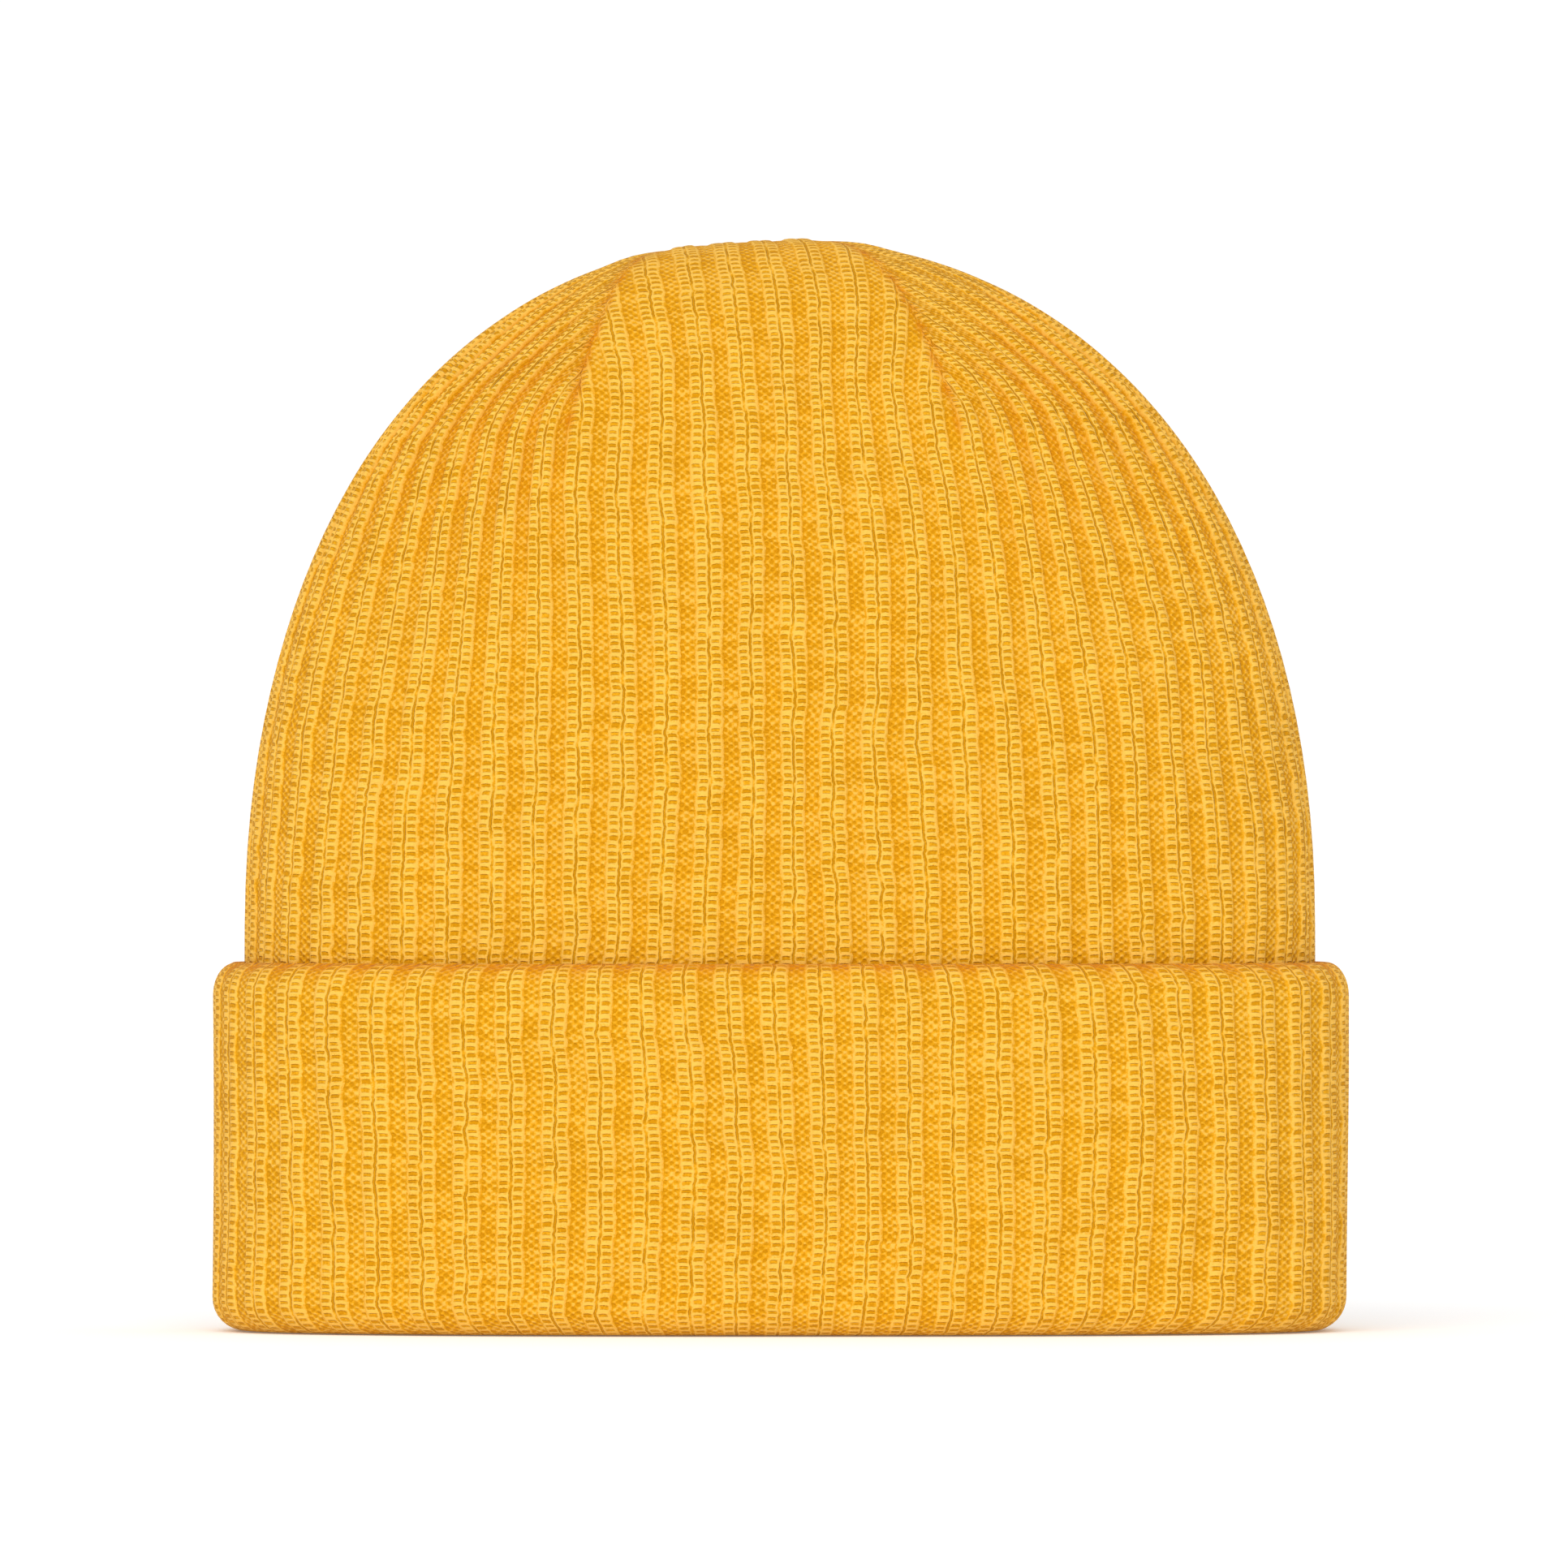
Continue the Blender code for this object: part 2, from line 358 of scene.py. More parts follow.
        luck = bench.times(bench.minus(stitch, 0.5), 0.42)
        fuzz = bench.times(bench.minus(fibre, 0.5), 1.1)
        uneven = bench.plus(height, bench.plus(luck, fuzz))
        colour = bench.mix(bench.fade(uneven, 0.02, 0.55), yarn.hollow_shade, yarn.middle)
        colour = bench.mix(bench.fade(uneven, 0.45, 1.0), colour, yarn.light)
        # Painted shade from the crease attribute: darker orange in the dart creases, rib furrows,
        # crown tip and the cuff's hem and hidden faces.
        crease_and_shade = bench.add("ShaderNodeAttribute", attribute_name="crease_and_shade").outputs["Fac"]
        colour = bench.mix(bench.times(crease_and_shade, 0.9), colour, yarn.crease_and_shade)
        value = bench.add("ShaderNodeHueSaturation")
        bench.link(colour, value.inputs["Color"])
        bright = bench.math("MULTIPLY_ADD", fibre, 0.16, bench.times(patch, 0.14))
        bench.link(bench.plus(bright, 0.82), value.inputs["Value"])

        bump = bench.add("ShaderNodeBump")
        bump.inputs["Distance"].default_value = yarn.stitch_relief
        bump.inputs["Strength"].default_value = 1.0
        raised = bench.plus(height, bench.times(fibre, 0.25))
        bench.link(raised, bump.inputs["Height"])

        bench.set_surface(Base_Color=value.outputs["Color"], Roughness=yarn.roughness,
                          Sheen_Weight=yarn.sheen, Sheen_Roughness=0.45,
                          Sheen_Tint=(1.0, 0.90, 0.78, 1.0), Normal=bump.outputs["Normal"],
                          Specular_IOR_Level=0.10)
        return bench.material


@dataclass(frozen=True)
class CrownPlan:
    """Plan of the gathered crown: where the darts start, how far out they sit and where they meet."""

    foot_share: float = 0.772
    wall_ratio: float = 0.406
    ratios: tuple[float, float] = (0.49, 0.435)
    shift_x: float = -8.0 * MM
    shift_y: float = 18.0 * MM

    def ratio(self, side: int, share: float) -> float:
        """Dart line's distance from the middle plane, as a share of the row's half width.

        Args:
            side: -1 on the left and 1 on the right.
            share: How wide the row is, 1 on the walls and 0 at the crown's tip.

        Returns:
            The ratio.
        """
        sewn = self.ratios[0] if side < 0 else self.ratios[1]
        ease = 1.0 - float(smooth(self.foot_share, 1.0, np.array(share)))
        return self.wall_ratio + (sewn - self.wall_ratio) * ease

    def slide(self, share: Array) -> Array:
        """How far a row moves with the crown's tip, 0 on the walls and 1 at the tip."""
        return (1.0 - share ** 2) ** 2


@dataclass
class KnitDome:
    """One layer of the hat's body: straight walls, a dome, and a crown gathered into four darts."""

    name: str
    node: str
    slot: str
    yarn: Yarn
    facing: Half
    inset: float
    crown_drop: float
    thickness: float
    columns_per_rib: int
    wall_rows: int
    shoulder_rows: int
    crown_rows: int
    flat_size: tuple[float, float]
    flat_area: float
    relief: float = 1.0
    swell: float = 0.2 * MM
    foot_z: float = 2.3 * MM
    half_width: float = 103.5 * MM
    half_depth: float = 46.0 * MM
    shoulder_z: float = 78.1 * MM
    crown_z: float = 210.9 * MM
    dome_power: float = 2.2
    dart_depth: float = 1.2 * MM
    dart_width: float = 1.0 * MM
    dart_flat: float = 1.6 * MM
    dart_lead: float = 9.0 * MM
    pad_place: float = 4.5 * MM
    pad_width: float = 3.0 * MM
    pad_height: float = 0.35 * MM
    tip_depth: float = 0.9 * MM
    tip_width: float = 3.5 * MM
    foot_tilt: float = 36.0
    bend: float = 9.0 * MM
    front_intake: float = 0.6
    side_intake: float = 1.3
    lean: float = 3.4 * MM
    oval: Oval = field(default_factory=Oval)
    rib: RibProfile = field(default_factory=RibProfile)
    plan: CrownPlan = field(default_factory=CrownPlan)

    @property
    def rise(self) -> float:
        """Height of this layer's dome above the shoulder."""
        return self.crown_z - self.shoulder_z - self.inset - self.crown_drop

    def _rows(self) -> tuple[Array, Array]:
        """Share of full width and height of each row before the crown's tip is moved."""
        wall = np.linspace(self.foot_z, self.shoulder_z, self.wall_rows, endpoint=False)
        low = np.linspace(0.0, math.radians(self.foot_tilt), self.shoulder_rows, endpoint=False)
        high = np.linspace(math.radians(self.foot_tilt), math.pi / 2.0, self.crown_rows + 1)
        tilt = np.concatenate([low, high])
        share = np.maximum(np.cos(tilt), 0.0) ** (2.0 / self.dome_power)
        share[-1] = 0.0
        height = self.shoulder_z + self.rise * np.sin(tilt) ** (2.0 / self.dome_power)
        return np.concatenate([np.ones(self.wall_rows), share]), np.concatenate([wall, height])

    def _pitches(self, past_foot: float, front: float, side: float) -> tuple[float, float]:
        """Rib spacing in a row's front and side parts.

        Args:
            past_foot: Length of knit between the darts' foot and the row, 0 below the foot.
            front: Length of the row's front part, from the middle to the dart.
            side: Length of its side part, from the dart to the side's middle.

        Returns:
            Front and side spacing; where the ribs don't all fit, the outer ones end in the dart.
        """
        side_ribs = RIBS_PER_QUARTER - FRONT_HALF_RIBS
        turn = math.hypot(max(past_foot, 0.0), self.bend) - self.bend
        front_pitch = (front + self.front_intake * turn) / FRONT_HALF_RIBS
        return front_pitch, (side + self.side_intake * turn) / side_ribs

    def _ring(self, share: float, z: float, past_foot: float,
              ribs: Array) -> tuple[Array, Array, Array]:
        """One row of the knit before the crown's tip is moved.

        Args:
            share: The row's share of full width.
            z: The row's height.
            past_foot: Length of knit between the darts' foot and the row.
            ribs: Places round the hat, in ribs, from the back's middle.

        Returns:
            x, y and the distance to the nearest dart line, along the outline.
        """
        half_width = max((self.half_width - self.inset) * share, 1e-7)
        half_depth = max((self.half_depth - self.inset) * share, 1e-7)
        line_x, line_depth, length = self.oval.quarter(half_width, half_depth)
        from_middle = ribs - RIBS_ROUND / 2.0
        side = np.where(from_middle < 0.0, -1, 1)
        k = np.abs(from_middle)
        front = k <= RIBS_PER_QUARTER
        k = np.where(front, k, RIBS_ROUND / 2.0 - k)
        free = (1.0 - np.exp(-((k - FRONT_HALF_RIBS) / 1.2) ** 2)) * smooth(0.0, 1.0, k) * smooth(
            0.0, 1.0, RIBS_PER_QUARTER - k)
        k = k + 0.07 * ripple(ribs, np.array(2.5 * z), 31) * free
        place = np.zeros_like(k)
        to_dart = np.zeros_like(k)
        for sign in (-1, 1):
            edge_x = self.plan.ratio(sign, share) * half_width
            front_length = float(np.interp(edge_x, line_x, length))
            side_length = length[-1] - front_length
            front_pitch, side_pitch = self._pitches(past_foot, front_length, side_length)
            lean = self.lean * float(smooth(-4.0 * MM, 16.0 * MM, np.array(past_foot)))
            leaning = lean * (k / FRONT_HALF_RIBS) ** 3
            front_place = np.minimum(k * front_pitch + leaning, front_length)
            side_place = length[-1] - np.minimum((RIBS_PER_QUARTER - k) * side_pitch, side_length)
            along = np.where(k <= FRONT_HALF_RIBS, front_place, side_place)
            chosen = side == sign
            place = np.where(chosen, along, place)
            to_dart = np.where(chosen, np.abs(along - front_length), to_dart)
        x = side * np.interp(place, length, line_x)
        y = np.interp(place, length, line_depth) * np.where(front, -1.0, 1.0)
        return x, y, to_dart

    def _move_tip(self, points: Array, share: Array) -> Array:
        """Slide the crown over the dome so that the darts meet where the plan says."""
        moved = points.copy()
        slide = self.plan.slide(share)[:, None]
        width, depth = self.half_width - self.inset, self.half_depth - self.inset
        moved[..., 0] += slide * self.plan.shift_x * width / self.half_width
        moved[..., 1] += slide * self.plan.shift_y * depth / self.half_depth
        x_part, y_part = np.abs(moved[..., 0] / width), np.abs(moved[..., 1] / depth)
        out = (x_part ** self.oval.power + y_part ** self.oval.power) ** (1.0 / self.oval.power)
        left = np.maximum(1.0 - out ** self.dome_power, 0.0)
        on_dome = self.shoulder_z + self.rise * left ** (1.0 / self.dome_power)
        moved[..., 2] = np.where(share[:, None] < 1.0, on_dome, moved[..., 2])
        return moved

    def dart_line(self, sign: int, facing: int, last: float = 0.13, steps: int = 40) -> Array:
        """Line of one dart on this layer's smooth form, from its foot up towards the crown's tip.

        Args:
            sign: -1 for a left dart and 1 for a right one.
            facing: -1 for a front dart and 1 for a back one.
            last: Share of full width where the line ends.
            steps: How many points it has.

        Returns:
            Points along the line.
        """
        share = np.linspace(self.plan.foot_share - 0.02, last, steps)
        across = self.plan.ratio(sign, 0.0)
        forward = (1.0 - across ** self.oval.power) ** (1.0 / self.oval.power)
        x = sign * across * share * (self.half_width - self.inset)
        y = facing * forward * share * (self.half_depth - self.inset)
        line = np.stack([x, y, np.zeros(steps)], axis=-1)
        return self._move_tip(line[:, None, :], share)[:, 0]

    def _normals(self, points: Array) -> Array:
        """Outward unit normals of the smooth form at points on it."""
        power = self.oval.power
        width = self.half_width - self.inset
        depth = self.half_depth - self.inset
        x, y, z = points[..., 0], points[..., 1], points[..., 2]
        part = np.clip((z - self.shoulder_z) / self.rise, 0.0, 0.99999)
        left = np.maximum(1.0 - part ** self.dome_power, 1e-9)
        nx = np.sign(x) * np.abs(x / width) ** (power - 1.0) / width
        ny = np.sign(y) * np.abs(y / depth) ** (power - 1.0) / depth
        nz = left ** (power / self.dome_power - 1.0) * part ** (self.dome_power - 1.0) / self.rise
        normals = np.stack([nx, ny, nz], axis=-1)
        return normals / np.maximum(np.linalg.norm(normals, axis=-1, keepdims=True), 1e-12)

    def surface(self) -> tuple[Array, Array, Array]:
        """Points, course lengths and painted shade of the whole layer, by row and column."""
        columns = RIBS_ROUND * self.columns_per_rib
        ribs = np.arange(columns + 1) / self.columns_per_rib
        share, height = self._rows()
        meridian = np.hypot(np.diff(share * self.half_depth), np.diff(height))
        climb = np.concatenate([[0.0], np.cumsum(meridian)])
        dome = slice(self.wall_rows, None)
        foot_climb = float(np.interp(-self.plan.foot_share, -share[dome], climb[dome]))
        past_foot = climb - foot_climb
        points = np.zeros((len(height), columns + 1, 3))
        to_dart = np.zeros((len(height), columns + 1))
        for row, z in enumerate(height):
            x, y, to_dart[row] = self._ring(float(share[row]), z, float(past_foot[row]), ribs)
            points[row] = np.stack([x, y, np.full_like(x, z)], axis=-1)
        radius = np.hypot(points[..., 0], points[..., 1])
        points = self._move_tip(points, share)
        steps = np.linalg.norm(np.diff(points, axis=0), axis=-1)
        climbed = np.concatenate([np.zeros((1, columns + 1)), np.cumsum(steps, axis=0)])

        sewn = smooth(-self.dart_lead, 0.0, past_foot)[:, None]
        near = hump(to_dart, 0.0, self.dart_flat)
        flatten = (1.0 - near * sewn) * smooth(0.0, 12.0 * MM, radius)
        # The dart crease sinks the knit below and also carries painted shade.
        crease_and_shade = hump(to_dart, 0.0, self.dart_width) * sewn * smooth(0.0, 5.0 * MM, radius)
        pad = hump(to_dart, self.pad_place, self.pad_width) * flatten * sewn
        z = height[:, None] + self.crown_drop
        foot = 1.0 - 0.5 * hump(height[:, None], self.foot_z, 4.0 * MM)
        calm = 1.0 - 0.6 * smooth(188.0 * MM, 206.0 * MM, points[..., 2] + self.crown_drop)
        outer = smooth(34.0 * MM, 48.0 * MM, np.abs(points[..., 0]))
        lobe = outer * smooth(130.0 * MM, 175.0 * MM, z)
        calm = calm * (1.0 + 0.7 * lobe)
        relief = self.relief * self.rib.height(ribs)[None, :] * flatten * foot * calm
        swell = self.swell * (ripple(ribs[None, :], z, 5) - 1.0) * flatten
        deepen = smooth(0.0, 8.0 * MM, past_foot)[:, None]
        fading = 1.0 - 0.85 * smooth(192.0 * MM, 207.0 * MM, points[..., 2] + self.crown_drop)
        dip = -self.dart_depth * (0.45 + 0.55 * deepen) * crease_and_shade * fading + self.pad_height * pad
        tip = -self.tip_depth * hump(radius, 0.0, self.tip_width)
        offset = (relief + swell + dip + tip) * self.facing.value
        # Painted shade: along the dart creases, ragged along their length, in the rib valleys, most on
        # the crown's side lobes, and in a spot at the crown's tip.
        furrow_shade = np.clip(-self.rib.height(ribs)[None, :] / self.rib.valley_depth, 0.0, 1.0) ** 2
        ragged = 0.65 + 0.35 * np.clip(np.sin(climbed / (1.1 * MM)), -1.0, 1.0)
        tip_pucker_shade = 0.9 * hump(radius, 0.0, 2.0 * MM)
        shade = crease_and_shade * ragged + (0.10 + 0.35 * lobe) * furrow_shade * flatten + tip_pucker_shade
        shade = np.clip(shade, 0.0, 1.0)
        return points + self._normals(points) * offset[..., None], climbed, shade

    def build(self) -> bpy.types.Object:
        points, climbed, shade = self.surface()
        piece = knit_grid(self.name, points, climbed, self.columns_per_rib, shade)
        close_seams(piece, self.facing)
        thicken(piece, self.thickness)
        dress(piece, KnitFinish(self.yarn).material)
        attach(piece, "hat")
        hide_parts(self.node)
        return piece


@dataclass
class TurnedCuff:
    """The doubled band folded up round the brim."""

    yarn: Yarn
    inner_half_width: float = 104.4 * MM
    inner_half_depth: float = 46.9 * MM
    height: float = 71.1 * MM
    thickness: float = 5.6 * MM
    cloth: float = 2.4 * MM
    lip_reach: float = 6.2 * MM
    lip_thickness: float = 1.9 * MM
    corner: float = 6.5 * MM
    hem_crest: float = 1.2 * MM
    hidden_edge_z: float = 4.8 * MM
    columns_per_rib: int = 14
    pitch: float = 8.4
    side_pitch_gain: float = 0.00296
    rib_shift: float = 0.42
    flat_size: tuple[float, float] = (0.530, 0.1445)
    oval: Oval = field(default_factory=Oval)
    rib: RibProfile = field(default_factory=lambda: RibProfile(0.70 * MM, 0.28 * MM))

    def _profile(self) -> tuple[Array, Array, Array]:
        """Closed outline of the folded cloth's cut edge.

        The cloth comes out from under the body, turns up, folds inwards at the hem and hangs down
        again behind itself, with a narrow slit between its two layers.

        Returns:
            Points as (distance from the inner face, height), a normal for each, and which are shown.
        """
        half_lip = self.lip_thickness / 2.0
        rim = (-self.lip_reach + half_lip, half_lip)
        turn = (self.thickness - self.corner, self.corner)
        slit = (self.thickness - 2.0 * self.cloth) / 2.0
        slit_top = self.height - self.cloth - slit
        half_cloth = self.cloth / 2.0
        edge = (half_cloth, self.hidden_edge_z + half_cloth)
        outer_face = self.thickness - self.cloth
        shown = [
            self._arc(rim, half_lip, half_lip, 90.0, 270.0, 5),
            self._run((rim[0], 0.0), (turn[0], 0.0), 4),
            self._arc(turn, self.corner, self.corner, -90.0, 0.0, 8),
            self._run((self.thickness, self.corner),
                      (self.thickness, self.height - self.corner), 26),
            self._arc((self.hem_crest, self.height - self.corner), self.thickness - self.hem_crest,
                      self.corner, 0.0, 90.0, 10),
        ]
        hidden = [
            self._arc((self.hem_crest, self.height - self.hem_crest), self.hem_crest, self.hem_crest,
                      90.0, 180.0, 3),
            self._run((0.0, self.height - self.hem_crest), (0.0, edge[1]), 6),
            self._arc(edge, half_cloth, half_cloth, 180.0, 360.0, 5),
            self._run((self.cloth, edge[1]), (self.cloth, slit_top), 6),
            self._arc((self.cloth + slit, slit_top), slit, slit, 180.0, 0.0, 4),
            self._run((outer_face, slit_top), (outer_face, self.corner), 6),
            self._arc(turn, self.corner - self.cloth, self.corner - self.lip_thickness, 0.0, -90.0, 5),
            self._run((turn[0], self.lip_thickness), (rim[0], self.lip_thickness), 3),
        ]
        points = np.array([p for part in shown + hidden for p in part])
        face = np.concatenate([np.ones(sum(map(len, shown))), np.zeros(sum(map(len, hidden)))])
        along = np.roll(points, -1, axis=0) - np.roll(points, 1, axis=0)
        normals = np.stack([along[:, 1], -along[:, 0]], axis=-1)
        normals /= np.linalg.norm(normals, axis=-1, keepdims=True)
        points, normals = np.vstack([points, points[:1]]), np.vstack([normals, normals[:1]])
        return points, normals, np.append(face, face[0])

    @staticmethod
    def _arc(centre: tuple[float, float], reach: float, rise: float, start: float, end: float,
             steps: int) -> list[tuple[float, float]]:
        """Points on an elliptical arc, its last one left to the next part."""
        turns = np.radians(np.linspace(start, end, steps, endpoint=False))
        return [(centre[0] + reach * math.cos(t), centre[1] + rise * math.sin(t)) for t in turns]

    @staticmethod
    def _run(start: tuple[float, float], end: tuple[float, float],
             steps: int) -> list[tuple[float, float]]:
        """Points on a straight line, its last one left to the next part."""
        shares = np.linspace(0.0, 1.0, steps, endpoint=False)
        reach, rise = end[0] - start[0], end[1] - start[1]
        return [(start[0] + reach * s, start[1] + rise * s) for s in shares]

    def _round(self, reach: float, ribs: Array) -> tuple[Array, Array, Array, Array]:
        """x, y and outline normals at places given in ribs, on the outline at one distance."""
        half_width = self.inner_half_width + reach
        half_depth = self.inner_half_depth + reach
        line_x, line_depth, length = self.oval.quarter(half_width, half_depth)
        from_middle = ribs - RIBS_ROUND / 2.0
        side = np.where(from_middle < 0.0, -1.0, 1.0)
        k = np.abs(from_middle)
        front = k <= RIBS_PER_QUARTER
        k = np.clip(np.where(front, k, RIBS_ROUND / 2.0 - k), 0.0, RIBS_PER_QUARTER)
        even = self.pitch * k + self.side_pitch_gain * k ** 3
        full = self.pitch * RIBS_PER_QUARTER + self.side_pitch_gain * RIBS_PER_QUARTER ** 3
        place = even / full * length[-1]
        x = side * np.interp(place, length, line_x)
        y = np.interp(place, length, line_depth) * np.where(front, -1.0, 1.0)
        nx, ny = self.oval.normal(x, y, half_width, half_depth)
        return x, y, nx, ny

    def surface(self) -> tuple[Array, Array, Array]:
        """Points, course lengths and painted shade of the band, by row and column."""
        outline, outline_normals, shown = self._profile()
        columns = RIBS_ROUND * self.columns_per_rib
        ribs = np.arange(columns + 1) / self.columns_per_rib
        steps = np.linalg.norm(np.diff(outline, axis=0), axis=-1)
        walked = np.concatenate([[0.0], np.cumsum(steps)])
        points = np.zeros((len(outline), columns + 1, 3))
        shade = np.zeros((len(outline), columns + 1))
        repeat = self.rib.height(ribs + self.rib_shift)
        # Rib grooves, used only for painted shade at the hem.
        groove = np.clip(-repeat / self.rib.valley_depth, 0.0, 1.0)
        for row, (reach, z) in enumerate(outline):
            wander = 0.06 * ripple(ribs, np.array(2.0 * z), 11) + 0.08 * math.sin(z / (19.0 * MM))
            x, y, nx, ny = self._round(reach, np.mod(ribs + wander, RIBS_ROUND))
            outer = float(smooth(-1.0 * MM, 3.0 * MM, np.array(reach))) * shown[row]
            hem = float(hump(z, self.height, 3.0 * MM)) * outer
            pinch = 1.0 - 0.45 * float(hump(z, 0.0, 3.5 * MM))
            swell = 0.25 * MM * (np.minimum(ripple(ribs, np.array(z), 23), 0.8) - 0.8) * outer
            shift = repeat * outer * pinch * (1.0 - 0.7 * hem) + swell
            out, up = outline_normals[row]
            points[row, :, 0] = x + nx * out * shift
            points[row, :, 1] = y + ny * out * shift
            points[row, :, 2] = np.maximum(z + up * shift * (1.0 if z > self.corner else 0.25), 0.0)
            # Painted shade: dark notches in the rib grooves at the hem, a dark line along the hem's
            # crest where the cuff meets the body, and darker hidden faces inside the fold.
            hem_line_shade = float(hump(z, self.height, 0.7 * MM))
            hidden = 0.25 * (1.0 - shown[row])
            shade[row] = np.clip(0.55 * hem * groove + 0.40 * hem_line_shade + hidden, 0.0, 1.0)
        points[:, -1] = points[:, 0]
        climbed = np.repeat(walked[:, None], columns + 1, axis=1)
        return points, climbed, shade

    def build(self) -> bpy.types.Object:
        points, climbed, shade = self.surface()
        piece = knit_grid("cuff_rib_knit", points, climbed, self.columns_per_rib, shade,
                          shift=self.rib_shift)
        close_seams(piece, Half.OUTWARD)
        dress(piece, KnitFinish(self.yarn).material)
        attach(piece, "cuff")
        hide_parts("turn_up_cuff")
        return piece


class WovenFinish:
    """Blank woven tape: fine crossing threads with firmer edges."""

    def __init__(self, width: float) -> None:
        """Build the material for a tape of one width, its knit map being in millimetres."""
        bench = NodeBench("blank_woven_tape")
        knit_map = bench.add("ShaderNodeUVMap", uv_map="knit").outputs["UV"]
        split = bench.add("ShaderNodeSeparateXYZ")
        bench.link(knit_map, split.inputs[0])
        warp = bench.math("SINE", bench.times(split.outputs["X"], 2 * math.pi / 0.42))
        weft = bench.math("SINE", bench.times(split.outputs["Y"], 2 * math.pi / 0.30))
        weave = bench.math("MULTIPLY_ADD", bench.times(warp, weft), 0.5, 0.5)
        middle = width / MM / 2.0
        from_middle = bench.math("ABSOLUTE", bench.minus(split.outputs["X"], middle))
        firm = bench.fade(from_middle, middle - 1.1, middle - 0.8)
        colour = bench.mix(weave, (0.70, 0.67, 0.60), (0.90, 0.88, 0.82))
        colour = bench.mix(bench.times(firm, 0.5), colour, (0.62, 0.58, 0.50))
        bump = bench.add("ShaderNodeBump")
        bump.inputs["Distance"].default_value = 0.08 * MM
        bench.link(weave, bump.inputs["Height"])
        bench.set_surface(Base_Color=colour, Roughness=0.62, Sheen_Weight=0.15,
                          Normal=bump.outputs["Normal"])
        self.material = bench.material


class ThreadFinish:
    """Dyed sewing thread: fine fibres and a soft shine."""

    def __init__(self, name: str, dark: tuple[float, float, float],
                 light: tuple[float, float, float]) -> None:
        """Build the material between two shades of one colour."""
        bench = NodeBench(name)
        place = bench.add("ShaderNodeTexCoord").outputs["Object"]
        fibre = bench.noise(place, 5200.0, 3.0)
        patch = bench.noise(place, 300.0, 2.0)
        share = bench.math("MULTIPLY_ADD", fibre, 0.7, bench.times(patch, 0.3))
        colour = bench.mix(share, dark, light)
        bump = bench.add("ShaderNodeBump")
        bump.inputs["Distance"].default_value = 0.05 * MM
        bench.link(fibre, bump.inputs["Height"])
        bench.set_surface(Base_Color=colour, Roughness=0.55, Sheen_Weight=0.2,
                          Normal=bump.outputs["Normal"])
        self.material = bench.material


@dataclass
class CareLabel:
    """Blank tape folded in two, hanging behind the stitches on the lining."""

    layer: float = 0.30 * MM
    columns: int = 16
    straight_rows: int = 20
    turn_rows: int = 8

    def build(self) -> bpy.types.Object:
        """Fold the tape where the frame has the label."""
        low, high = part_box("care_label")
        middle_y = (low.y + high.y) / 2.0
        half_gap = (high.y - low.y - self.layer) / 2.0
        fold_z = low.z + half_gap + self.layer / 2.0
        falling = np.linspace(high.z, fold_z, self.straight_rows, endpoint=False)
        back = [(half_gap, z) for z in falling]
        turns = np.linspace(0.0, -math.pi, self.turn_rows, endpoint=False)
        fold = [(half_gap * math.cos(t), fold_z + half_gap * math.sin(t)) for t in turns]
        front = [(-half_gap, z) for z in np.linspace(fold_z, high.z, self.straight_rows)]
        line = np.array(back + fold + front)
        steps = np.linalg.norm(np.diff(line, axis=0), axis=-1)
        walked = np.concatenate([[0.0], np.cumsum(steps)])
        across = np.linspace(low.x, high.x, self.columns + 1)
        points = np.zeros((len(line), self.columns + 1, 3))
        points[..., 0] = across[None, :]
        points[..., 1] = middle_y + line[:, :1]
        points[..., 2] = line[:, 1:]
        width = high.x - low.x
        in_millimetres = np.repeat(walked[:, None], self.columns + 1, axis=1) * COURSE_PITCH / MM
        piece = knit_grid("care_label_tape", points, in_millimetres, self.columns / (width / MM),
                          np.zeros(points.shape[:2]))
        thicken(piece, self.layer, 0.0)
        dress(piece, WovenFinish(width).material)
        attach(piece, "label")
        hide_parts("care_label")
        return piece


@dataclass
class SewnThread:
    """Two strands twisted round one line, as sewing thread lies in its stitches."""

    name: str
    node: str
    line: Array
    reach: float
    twist: float = 2.2 * MM

    def build(self, material: bpy.types.Material) -> bpy.types.Object:
        """Twist the strands round the line and dress them.

        Args:
            material: The thread's finish.

        Returns:
            The new piece.
        """
        steps = np.linalg.norm(np.diff(self.line, axis=0), axis=-1)
        walked = np.concatenate([[0.0], np.cumsum(steps)])
        count = max(24, int(walked[-1] / self.twist * 8))
        along = np.linspace(0.0, walked[-1], count)
        middle = np.column_stack([np.interp(along, walked, axis) for axis in self.line.T])
        ahead = np.gradient(middle, axis=0)
        ahead /= np.linalg.norm(ahead, axis=-1, keepdims=True)
        side = np.cross(ahead, (0.37, 0.55, 0.75))
        side /= np.linalg.norm(side, axis=-1, keepdims=True)
        up = np.cross(ahead, side)
        curve = bpy.data.curves.new(self.name, "CURVE")
        curve.dimensions = "3D"
        curve.bevel_depth = self.reach / 2.0
        curve.bevel_resolution = 1
        curve.use_fill_caps = True
        for strand in (0.0, math.pi):
            turn = (2.0 * math.pi * along / self.twist + strand)[:, None]
            wound = middle + self.reach / 2.0 * (np.cos(turn) * side + np.sin(turn) * up)
            spline = curve.splines.new("POLY")
            spline.points.add(count - 1)
            spline.points.foreach_set("co", np.hstack([wound, np.ones((count, 1))]).ravel())
        piece = bpy.data.objects.new(self.name, curve)
        bpy.context.scene.collection.objects.link(piece)
        deselect_all()
        piece.select_set(True)
        bpy.context.view_layer.objects.active = piece
        bpy.ops.object.convert(target="MESH")
        dress(piece, material)
        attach(piece, "hat")
        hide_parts(self.node)
        return piece


